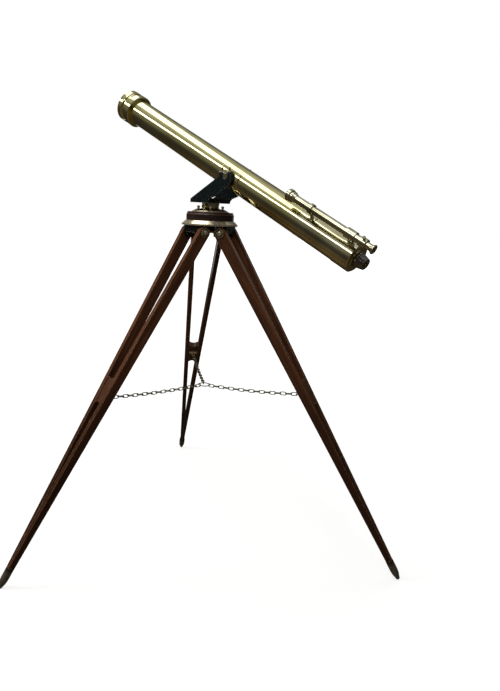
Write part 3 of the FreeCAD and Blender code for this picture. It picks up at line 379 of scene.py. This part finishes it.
DULL_BRASS = brass("dull_brass", UPRIGHT, (0.24, 0.21, 0.14), (0.08, 0.07, 0.05), 0.26, 0.42,
                   turned=False)
DISC_WOOD = wood("disc_wood", axes_at(middle("head_disc"), Vector((1, 0.3, 0)), UP),
                 (0.036, 0.018, 0.016), (0.012, 0.007, 0.007), 60.0)
YOKE_BLACK = black_metal("japanned_iron", (0.0050, 0.0088, 0.0105), 0.22, 0.36, 380.0)
IRON_BLACK = black_metal("blackened_iron", (0.0045, 0.0045, 0.0050), 0.35, 0.55, 500.0)
EBONITE = ebonite()
LENS = glass()

for leg in (1, 2, 3):
    grain = leg_frame(leg)
    # painted shade darkens each leg towards the floor
    timber = wood(f"leg{leg}_mahogany", grain, (0.172, 0.064, 0.027), (0.028, 0.0105, 0.0065), 75.0,
                  floor_shade=0.78)
    finish([f"leg{leg}_bar_left", f"leg{leg}_bar_right", f"leg{leg}_block"], timber)
    soften([f"leg{leg}_bar_left", f"leg{leg}_bar_right"], 1.6 * MM)
    soften([f"leg{leg}_block"], 1.0 * MM)
    shoe = f"leg{leg}_shoe"
    high = max((grain.inverted() @ vert.co).z for vert in NODES[shoe].data.vertices)
    finish([shoe], shoe_bronze(f"leg{leg}_bronze", grain, high - 0.006, high - 0.020))
    finish([f"leg{leg}_chain_eye"], HEAD_BRASS)

finish(["head_disc"], DISC_WOOD)
finish(["head_flange", "azimuth_plate", "trunnion_cap_near", "trunnion_cap_far"], HEAD_BRASS)
finish(["column"], COLUMN_BRASS)
finish(["hinge_blocks", "azimuth_spindle", "spindle_nut"], IRON_BLACK)
finish(["yoke"], YOKE_BLACK)
finish(["crown_lens", "flint_lens", "eye_lens", "finder_lens"], LENS)
finish(["chain_ring"], CHAIN_BRASS)
finish(["counter_cell", "object_cell", "retaining_ring", "main_tube", "saddle_near", "saddle_far",
        "draw_tube", "rack"], TUBE_BRASS)
finish(["tail_tube", "tail_ring", "draw_guide", "pinion_bearing"], TAIL_BRASS)
finish(["finder_tube", "finder_cell", "finder_front_bracket", "finder_rear_bracket",
        "finder_collar", "finder_eyepiece"], FINDER_BRASS)
soften(["yoke"], 1.8 * MM, 3)
soften(["hinge_blocks"], 1.0 * MM)
soften(["trunnion_cap_near", "trunnion_cap_far"], 0.8 * MM)
soften(["object_cell", "counter_cell", "tail_ring", "finder_cell", "finder_collar",
        "finder_eyepiece", "head_flange", "azimuth_plate", "column"], 0.4 * MM)


# ------------------------------------------------------------------ fine pieces in place of plain ones
CORNER_SHARE = 0.45    # most of a side that one rounded corner may take
CORNER_PULL = 0.29     # how far the middle of a rounded corner stands in from the sharp one


def rounded(profile, radius):
    """A (radius, height) profile with each inner corner turned into three short steps."""
    result = [profile[0]]
    for before, corner, after in zip(profile, profile[1:], profile[2:]):
        here = Vector(corner)
        arms = []
        for other in (before, after):
            arm = Vector(other) - here
            arms.append(arm.normalized() * min(radius, arm.length * CORNER_SHARE))
        result.append(tuple(here + arms[0]))
        result.append(tuple(here + (arms[0] + arms[1]) * CORNER_PULL))
        result.append(tuple(here + arms[1]))
    result.append(profile[-1])
    return result


def ring_of(mesh, matrix, count, height, reach_at):
    """Points round the matrix's Z axis, each as far out as reach_at(angle), in millimetres."""
    row = []
    for step in range(count):
        angle = 2 * math.pi * step / count
        reach = reach_at(angle)
        spot = Vector((reach * math.cos(angle), reach * math.sin(angle), height)) * MM
        row.append(mesh.verts.new(matrix @ spot))
    return row


def bridge(mesh, lower, upper):
    """Faces between two closed rows of points."""
    faces = []
    for step in range(len(lower)):
        following = (step + 1) % len(lower)
        around = (lower[step], lower[following], upper[following], upper[step])
        faces.append(mesh.faces.new(around))
    return faces


def lathe(mesh, profile, matrix, segments=48, knurl=None, hollow=False):
    """Revolve a (radius, height) profile in millimetres about the matrix's Z axis.

    knurl is (low, high, count, depth): straight grooves over that stretch of the height.
    The profile's ends are capped, or joined to each other when it is hollow.
    """
    rows = []
    for radius, height in profile:
        grooved = knurl is not None and knurl[0] <= height <= knurl[1]
        count, depth = knurl[2:] if grooved else (0, 0.0)
        rows.append(ring_of(mesh, matrix, segments, height, lambda angle: radius
                            - depth * (0.5 - 0.5 * math.cos(angle * count))))
    for lower, upper in zip(rows, rows[1:]):
        bridge(mesh, lower, upper)
    if hollow:
        bridge(mesh, rows[-1], rows[0])
    else:
        mesh.faces.new(tuple(reversed(rows[0])))
        mesh.faces.new(tuple(rows[-1]))


def make_piece(mesh, name, material, body, replaced, crease=35.0):
    """Turn a bmesh into an object that rides on a body and stands for CAD nodes."""
    bmesh.ops.remove_doubles(mesh, verts=mesh.verts, dist=0.0005 * MM)
    bmesh.ops.recalc_face_normals(mesh, faces=mesh.faces)
    data = bpy.data.meshes.new(name)
    mesh.to_mesh(data)
    mesh.free()
    data.shade_smooth()
    data.set_sharp_from_angle(angle=math.radians(crease))
    data.materials.append(material)
    item = bpy.data.objects.new(name, data)
    bpy.context.scene.collection.objects.link(item)
    if body:
        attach(item, body)
    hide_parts(*replaced)
    return item


def head_profile(radius, height):
    """Outline of a screw head, straight below and domed above."""
    return rounded([(0, 0), (radius, 0), (radius, height * 0.62), (radius * 0.72, height), (0, height)],
                   radius * 0.10)


SLOT_STEPS = 16    # round each half of a slotted head


def slotted(mesh, radius, height, matrix, turn=0.0):
    """A cheese-head screw with a slot across it."""
    depth, half = min(height * 0.35, radius * 0.7), radius * 0.13
    floor = height - depth
    spun = matrix @ Matrix.Rotation(turn, 4, "Z")
    outline = head_profile(radius, height)
    lathe(mesh, [point for point in outline if point[1] <= floor] + [(radius, floor)], spun, 32)
    for side in (-1, 1):
        rings = []
        reach = [(radius, floor)] + [point for point in outline if point[1] > floor and point[0] > 0]
        for edge, level in reach:
            row = []
            limit = math.acos(min(1.0, half / edge))
            for step in range(SLOT_STEPS + 1):
                angle = -limit + 2 * limit * step / SLOT_STEPS
                spot = Vector((side * edge * math.cos(angle), edge * math.sin(angle), level)) * MM
                row.append(mesh.verts.new(spun @ spot))
            rings.append(row)
        for lower, upper in zip(rings, rings[1:]):
            for step in range(SLOT_STEPS):
                mesh.faces.new((lower[step], lower[step + 1], upper[step + 1], upper[step]))
        mesh.faces.new(rings[-1])
        wall = [row[0] for row in rings] + [row[-1] for row in reversed(rings)]
        mesh.faces.new(wall)


def screw_group(node, name, body, direction_at, material):
    """Slotted heads in place of a node of plain ones."""
    mesh = bmesh.new()
    for count, points in enumerate(solids(node)):
        rough_centre = Vector(points.mean(axis=0))
        along = direction_at(rough_centre).normalized()
        side = along.orthogonal().normalized()
        centre = centre_of(points, (along, side, along.cross(side)))
        low, high = span(points, along)
        wide = span(points, side)
        foot = centre + along * (low - centre.dot(along))
        slotted(mesh, (wide[1] - wide[0]) / 2 / MM, (high - low) / MM,
                axes_at(foot, along, side), 0.7 + 2.3 * count)
    make_piece(mesh, name, material, body, [node])


def off_axis(point):
    """Away from the optical axis, at a point."""
    run = point - SCOPE.translation
    return run - OPTICAL * run.dot(OPTICAL)


screw_group("cap_screws", "cap_screw_heads", "mount", lambda point: UP, DULL_BRASS)
screw_group("saddle_screws", "saddle_screw_heads", "telescope", off_axis, SCREW_BRASS)
screw_group("cell_screws", "cell_screw_heads", "telescope", lambda point: OPTICAL, SCREW_BRASS)


def build_plate_screws():
    """Four milled-head screws that hold the hub and the plate to the disc."""
    mesh = bmesh.new()
    for points in solids("plate_screws"):
        centre = centre_of(points, ((1, 0, 0), (0, 1, 0), (0, 0, 1)))
        low, high = span(points, UP)
        height = (high - low) / MM
        profile = rounded([(0, 0), (4.0, 0), (4.0, height - 8.0), (5.35, height - 7.0),
                           (5.35, height - 1.0), (4.3, height), (0, height)], 0.5)
        lathe(mesh, profile, axes_at(Vector((centre.x, centre.y, low)), UP, ACROSS), 96,
              (height - 6.5, height - 1.2, 24, 0.5))
    make_piece(mesh, "plate_screw_heads", SCREW_BRASS, "tripod_head", ["plate_screws"])


build_plate_screws()


def build_knob(node, name, body, axis, head, knurl):
    """A milled thumbscrew: its shank as the CAD has it, its head knurled."""
    points = corners(node)
    side = axis.orthogonal().normalized()
    low, high = span(points, axis)
    centre = centre_of(points, (axis, side, axis.cross(side)))
    foot = centre + axis * (low - centre.dot(axis))
    length = (high - low) / MM
    profile = [(0, 0)]
    for radius, place in head:
        profile.append((radius, place if place >= 0 else length + place))
    profile.append((0, length))
    mesh = bmesh.new()
    lathe(mesh, rounded(profile, 0.5), axes_at(foot, axis, side), knurl[0] * 4,
          (length + knurl[1], length + knurl[2], knurl[0], knurl[3]))
    make_piece(mesh, name, TUBE_BRASS, body, [node])


def axis_of(joint):
    """A joint's axis as a unit vector."""
    return Vector(JOINTS[joint]["axis"]).normalized()


def outward(node, axis, centre):
    """The joint's axis, pointing away from a centre."""
    return axis if (middle(node) - centre).dot(axis) > 0 else -axis


build_knob("azimuth_clamp", "azimuth_thumbscrew", "azimuth_screw", axis_of("azimuth_clamp_turn"),
           [(3.4, 0), (3.4, -13.0), (5.4, -12.6), (5.4, -10.2), (8.6, -9.0), (8.6, -1.0), (7.2, 0)],
           (30, -8.6, -1.4, 0.7))
build_knob("finder_screw", "finder_thumbscrew", "finder_clamp",
           outward("finder_screw", axis_of("finder_screw_turn"), middle("finder_tube")),
           [(1.9, 0), (1.9, -9.0), (4.6, -8.5), (4.6, -0.7), (3.8, 0)], (20, -8.2, -1.0, 0.5))


PINION_TEETH = 14
PINION_RADIUS = 6.9        # middle of the teeth, millimetres
PINION_TOOTH = 0.95        # half the height of a tooth
PINION_ENDS = (5.5, 12.5)  # along the shank


def build_focus_knob():
    """Focusing knob with its pinion: the teeth are cut as the CAD has them."""
    axis = outward("focus_knob", axis_of("focus_turn"), SCOPE.translation)
    points = corners("focus_knob")
    low, high = span(points, axis)
    centre = Vector(JOINTS["focus_turn"]["pos_m"])
    foot = centre + axis * (low - centre.dot(axis))
    length = (high - low) / MM
    matrix = axes_at(foot, axis, OPTICAL)
    mesh = bmesh.new()
    lathe(mesh, rounded([(0, 0), (2.5, 0), (2.5, length - 9.8), (9.0, length - 9.8),
                         (12.0, length - 8.5), (12.0, length - 1.5), (10.4, length), (7.0, length),
                         (6.4, length - 0.8), (0, length - 0.8)], 0.5),
          matrix, 160, (length - 8.2, length - 1.8, 40, 0.7))
    lower, upper = (
        ring_of(mesh, matrix, PINION_TEETH * 8, height,
                lambda angle: PINION_RADIUS + PINION_TOOTH * math.cos(angle * PINION_TEETH))
        for height in PINION_ENDS)
    bridge(mesh, lower, upper)
    mesh.faces.new(tuple(reversed(lower)))
    mesh.faces.new(tuple(upper))
    make_piece(mesh, "focusing_knob", TUBE_BRASS, "focus_pinion", ["focus_knob"])


build_focus_knob()


def build_eyepiece():
    """Black eyepiece: a milled collar against the draw tube and a stepped, tapering cup."""
    points = corners("eyepiece")
    outwards = -OPTICAL
    low, high = span(points, outwards)
    centre = SCOPE.translation
    foot = centre + outwards * (low - centre.dot(outwards))
    length = (high - low) / MM
    collar = length - 32.6
    profile = [(19.0, 0), (22.3, 0), (22.3, collar), (25.0, collar), (26.5, collar + 1.2),
               (26.5, collar + 6.6), (25.0, collar + 8.2), (23.6, collar + 9.0),
               (22.6, collar + 16.0), (21.7, collar + 16.4), (21.5, collar + 18.0),
               (22.0, collar + 18.6), (19.4, length - 5.0), (18.8, length - 1.4), (17.0, length),
               (11.5, length - 0.4), (8.1, length - 3.0), (8.1, length - 5.0), (13.5, length - 9.0),
               (18.4, 2.0)]
    mesh = bmesh.new()
    lathe(mesh, rounded(profile, 0.6), axes_at(foot, outwards, ABOVE), 192,
          (collar + 1.0, collar + 6.8, 48, 0.7), hollow=True)
    make_piece(mesh, "eyepiece_cup", EBONITE, "focus_slider", ["eyepiece"])


build_eyepiece()


WASHER_OUTLINE = ((17.9, 0), (17.9, 2.4), (17.0, 3.3), (15.6, 3.3), (15.2, 2.0),
                  (10.4, 2.0), (9.8, 3.5), (5.0, 3.5))
WASHER_ROUND = 14.5        # six-sided outside this radius
WASHER_SHADED_RECESS = (3, 4)     # the recessed stretches of the outline, blackened as painted shade
WASHER_LIMIT = 50 * MM     # anything longer is a bolt
BOLT_HEAD = (8.4, 4.8)     # radius and height
SHANK_RADIUS = 5
SHANK_INSET = 6            # from the bolt's end to the end of its shank
SIXTH = math.pi / 3


def hexagon(angle):
    """How far out a hexagon's edge lies at an angle, as a share of its corners' radius."""
    sector = (angle + SIXTH / 2) % SIXTH - SIXTH / 2
    return math.cos(SIXTH / 2) / math.cos(abs(sector) - SIXTH / 2)


def build_hinge_fittings():
    """Hexagonal washers with a turned boss, and slotted bolts through each hinge."""
    mesh = bmesh.new()
    for points in solids("hinge_bolts"):
        centre = Vector(points.mean(axis=0))
        leg = min((1, 2, 3), key=lambda k: (Vector(JOINTS[f"leg{k}_fold"]["pos_m"]) - centre).length)
        joint = JOINTS[f"leg{leg}_fold"]
        hinge, axis = Vector(joint["pos_m"]), Vector(joint["axis"])
        low, high = span(points, axis)
        if high - low > WASHER_LIMIT:
            shank = axes_at(hinge + axis * (low - hinge.dot(axis) + SHANK_INSET * MM), axis, UP)
            length = (high - low) / MM - 2 * SHANK_INSET
            lathe(mesh, [(0, 0), (SHANK_RADIUS, 0), (SHANK_RADIUS, length), (0, length)], shank, 32)
            for side in (-1, 1):
                end = high if side > 0 else -low
                base = hinge + axis * side * (end - BOLT_HEAD[1] * MM - hinge.dot(axis) * side)
                slotted(mesh, *BOLT_HEAD, axes_at(base, axis * side, UP), 0.9 * leg + side)
            continue
        side = 1 if centre.dot(axis) > hinge.dot(axis) else -1
        inner = low if side > 0 else -high
        base = hinge + axis * side * (inner - hinge.dot(axis) * side)
        down = hinge - middle(f"leg{leg}_shoe")
        matrix = axes_at(base, axis * side, down.cross(axis))
        rows = []
        for radius, height in WASHER_OUTLINE:
            six_sided = radius > WASHER_ROUND
            rows.append(ring_of(mesh, matrix, 48, height,
                                lambda angle: radius * (hexagon(angle) if six_sided else 1.0)))
        for stretch, (lower, upper) in enumerate(zip(rows, rows[1:])):
            for face in bridge(mesh, lower, upper):
                # painted shade: the washers' recessed stretches get the black iron material
                face.material_index = 1 if stretch in WASHER_SHADED_RECESS else 0
    item = make_piece(mesh, "hinge_fittings", SCREW_BRASS, "tripod_head", ["hinge_bolts"],
                      28.0)
    item.data.materials.append(IRON_BLACK)


build_hinge_fittings()


# ------------------------------------------------------------------ spreader chain
BEND_STEPS = 8     # in each round end of a link
WIRE_SIDES = 10


def add_link(mesh, centre, axes, half_length, half_width, wire):
    """One bent-wire link: a round wire swept round a long loop."""
    along, across, normal = axes
    straight = half_length - half_width
    path = []
    for end in (1, -1):
        for step in range(BEND_STEPS + 1):
            angle = end * math.pi / 2 - math.pi * step / BEND_STEPS
            path.append((end * straight + half_width * math.cos(angle), half_width * math.sin(angle)))
    rows = []
    for u, v in path:
        bend = Vector((math.copysign(straight, u), 0)) if abs(u) > straight else Vector((u, 0))
        out = (Vector((u, v)) - bend).normalized()
        row = []
        for step in range(WIRE_SIDES):
            angle = 2 * math.pi * step / WIRE_SIDES
            shift = out * (wire * math.cos(angle))
            spot = (centre + along * (u + shift.x) + across * (v + shift.y)
                    + normal * (wire * math.sin(angle)))
            row.append(mesh.verts.new(spot))
        rows.append(row)
    for row, following in zip(rows, rows[1:] + rows[:1]):
        bridge(mesh, row, following)


def build_chain(leg):
    """A chain arm of separate links between the centre ring and the leg's staple."""
    mesh = bmesh.new()
    ends = []
    for points in solids(f"chain_arm{leg}"):
        vectors = np.linalg.eigh(np.cov((points - points.mean(axis=0)).T)).eigenvectors
        normal, across, along = (Vector(vectors[:, place]) for place in (0, 1, 2))
        sizes = [span(points, axis) for axis in (along, across, normal)]
        halves = [(high - low) / 2 for low, high in sizes]
        centre = centre_of(points, (along, across, normal))
        wire = halves[2]
        add_link(mesh, centre, (along, across, normal), halves[0] - wire, halves[1] - wire, wire)
        ends.append(centre)
    ring_centre = middle("chain_ring")
    ends.sort(key=lambda point: (point - ring_centre).length)
    item = make_piece(mesh, f"chain_links{leg}", CHAIN_BRASS, None, [f"chain_arm{leg}"],
                      60.0)
    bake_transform(item)


for leg in (1, 2, 3):
    build_chain(leg)


# ------------------------------------------------------------------ stage, light and camera
def stage_mesh(name, build, material):
    """A smooth mesh of the stage, which is not a piece of the part."""
    mesh = bmesh.new()
    build(mesh)
    data = bpy.data.meshes.new(name)
    mesh.to_mesh(data)
    mesh.free()
    data.materials.append(material)
    data.shade_smooth()
    item = bpy.data.objects.new(name, data)
    bpy.context.scene.collection.objects.link(item)
    return item


def floor_finish():
    """Plain pale floor with the slightest unevenness, melting into the backdrop far out."""
    shader = Shader("floor")
    place = shader.position()
    clouds = shader.noise(place, 3.0, 2.0)
    shader.color(shader.ramp(clouds, (0.3, (0.36, 0.36, 0.36)), (0.7, (0.38, 0.38, 0.38))))
    length = shader.node("ShaderNodeVectorMath", operation="LENGTH")
    shader.link(place, length.inputs[0])
    glow = shader.remap(length.outputs["Value"], 0.72, 1.0, 0.6, 3.2)
    shader.link(glow, shader.surface.inputs["Emission Strength"])
    shader.set(Roughness=0.8, Specular_IOR_Level=0.0, Emission_Color=(1, 1, 1, 1))
    return shader.material


ROOM_RADIUS = 9.0
ROOM_TONES = ((0.0, (0.10, 0.075, 0.045)), (0.22, (0.110, 0.078, 0.038)), (0.39, (0.060, 0.045, 0.028)),
              (0.44, (0.035, 0.030, 0.026)), (0.57, (0.040, 0.037, 0.034)), (0.70, (0.15, 0.15, 0.12)),
              (0.85, (0.20, 0.20, 0.17)), (1.0, (0.70, 0.70, 0.66)))
ROOM_FRONT, ROOM_BACK = 1.25, 0.5      # brightness of the two ends along Y


def room_finish():
    """What polished metal sees round the stage: brown and dark below, greyer above."""
    shader = Shader("room")
    split = shader.node("ShaderNodeSeparateXYZ")
    glow = shader.node("ShaderNodeEmission")
    shader.link(shader.node("ShaderNodeTexCoord").outputs["Object"], split.inputs["Vector"])
    height = shader.remap(split.outputs["Z"], 0.0, 1.0, -ROOM_RADIUS, ROOM_RADIUS)
    depth = shader.remap(split.outputs["Y"], ROOM_FRONT, ROOM_BACK, -ROOM_RADIUS, ROOM_RADIUS)
    shader.link(shader.ramp(height, *ROOM_TONES), glow.inputs["Color"])
    shader.link(depth, glow.inputs["Strength"])
    shader.link(glow.outputs["Emission"], shader.tree.nodes["Material Output"].inputs["Surface"])
    shader.tree.nodes.remove(shader.surface)
    return shader.material


def add_stage():
    """A pale floor that the metal doesn't mirror, and a room that the camera doesn't see."""
    floor = stage_mesh("floor", lambda mesh: bmesh.ops.create_circle(
        mesh, cap_ends=True, segments=96, radius=30.0), floor_finish())
    floor.visible_glossy = False
    floor.visible_diffuse = False
    room = stage_mesh("room", lambda mesh: bmesh.ops.create_uvsphere(
        mesh, u_segments=48, v_segments=32, radius=ROOM_RADIUS), room_finish())
    room.visible_camera = False
    room.visible_shadow = False
    room.visible_transmission = False


def add_area(name, place, target, size, radiance, tint=(1, 1, 1), diffuse=True, glossy=True):
    """A soft box, as bright as radiance to look at."""
    light = bpy.data.lights.new(name, "AREA")
    light.shape = "RECTANGLE"
    light.size, light.size_y = size
    light.energy = radiance * math.pi * size[0] * size[1]
    light.color = tint
    item = bpy.data.objects.new(name, light)
    item.location = place
    item.rotation_mode = "QUATERNION"
    item.rotation_quaternion = (Vector(target) - Vector(place)).to_track_quat("-Z", "Y")
    item.visible_camera = False
    item.visible_diffuse = diffuse
    item.visible_glossy = glossy
    bpy.context.scene.collection.objects.link(item)


def add_world():
    """Plain white, for what lies beyond the floor."""
    world = bpy.data.worlds.new("studio")
    world.use_nodes = True
    background = world.node_tree.nodes["Background"]
    background.inputs["Color"].default_value = (1.0, 1.0, 1.0, 1.0)
    background.inputs["Strength"].default_value = 1.0
    bpy.context.scene.world = world


EYE = Vector((1.4745, -1.6480, 1.2646))
BEARING, PITCH, ROLL = 42.21, 12.98, 2.69      # degrees: from +Y towards -X, down, right side up
FOCAL_LENGTH = 30.76                           # millimetres, on the usual 36 mm frame
SIDEWAYS = 0.0724                              # shift, as a share of the picture's longer side


def add_camera():
    """Near eye level and turned a little, with the tripod left of the picture's centre."""
    bearing, pitch, roll = (math.radians(angle) for angle in (BEARING, PITCH, ROLL))
    forward = Vector((-math.sin(bearing) * math.cos(pitch), math.cos(bearing) * math.cos(pitch),
                      -math.sin(pitch)))
    level = forward.cross(UP).normalized()
    upright = level.cross(forward)
    right = level * math.cos(roll) + upright * math.sin(roll)
    top = upright * math.cos(roll) - level * math.sin(roll)
    matrix = Matrix((right, top, -forward)).transposed().to_4x4()
    matrix.translation = EYE
    data = bpy.data.cameras.new("camera")
    data.lens = FOCAL_LENGTH
    data.shift_x = SIDEWAYS
    data.clip_end = 60.0
    item = bpy.data.objects.new("camera", data)
    item.matrix_world = matrix
    bpy.context.scene.collection.objects.link(item)
    bpy.context.scene.camera = item


add_stage()
add_world()
add_area("overhead", (-0.3, -0.45, 3.3), (0.0, 0.0, 1.2), (3.4, 0.9), 2.1)
add_area("strip", (-0.9, -2.2, 3.0), (0.0, 0.0, 1.3), (3.0, 0.42), 5.2)
add_area("backdrop", (-2.6, 3.6, 1.4), (0.0, 0.0, 1.2), (4.5, 1.7), 0.9, diffuse=False)
add_area("key", (-2.6, -2.6, 2.0), (0.0, 0.0, 0.9), (1.2, 1.6), 15.0, (1.0, 0.95, 0.88), glossy=False)
add_area("fill", (2.6, -2.6, 2.4), (0.0, 0.0, 0.8), (2.4, 2.0), 1.7, (1.0, 0.98, 0.95), glossy=False)
add_area("rear_key", (0.6, 3.2, 2.4), (0.0, 0.0, 0.9), (2.4, 1.2), 3.0, glossy=False)
add_camera()

scene = bpy.context.scene
scene.view_settings.view_transform = "Standard"
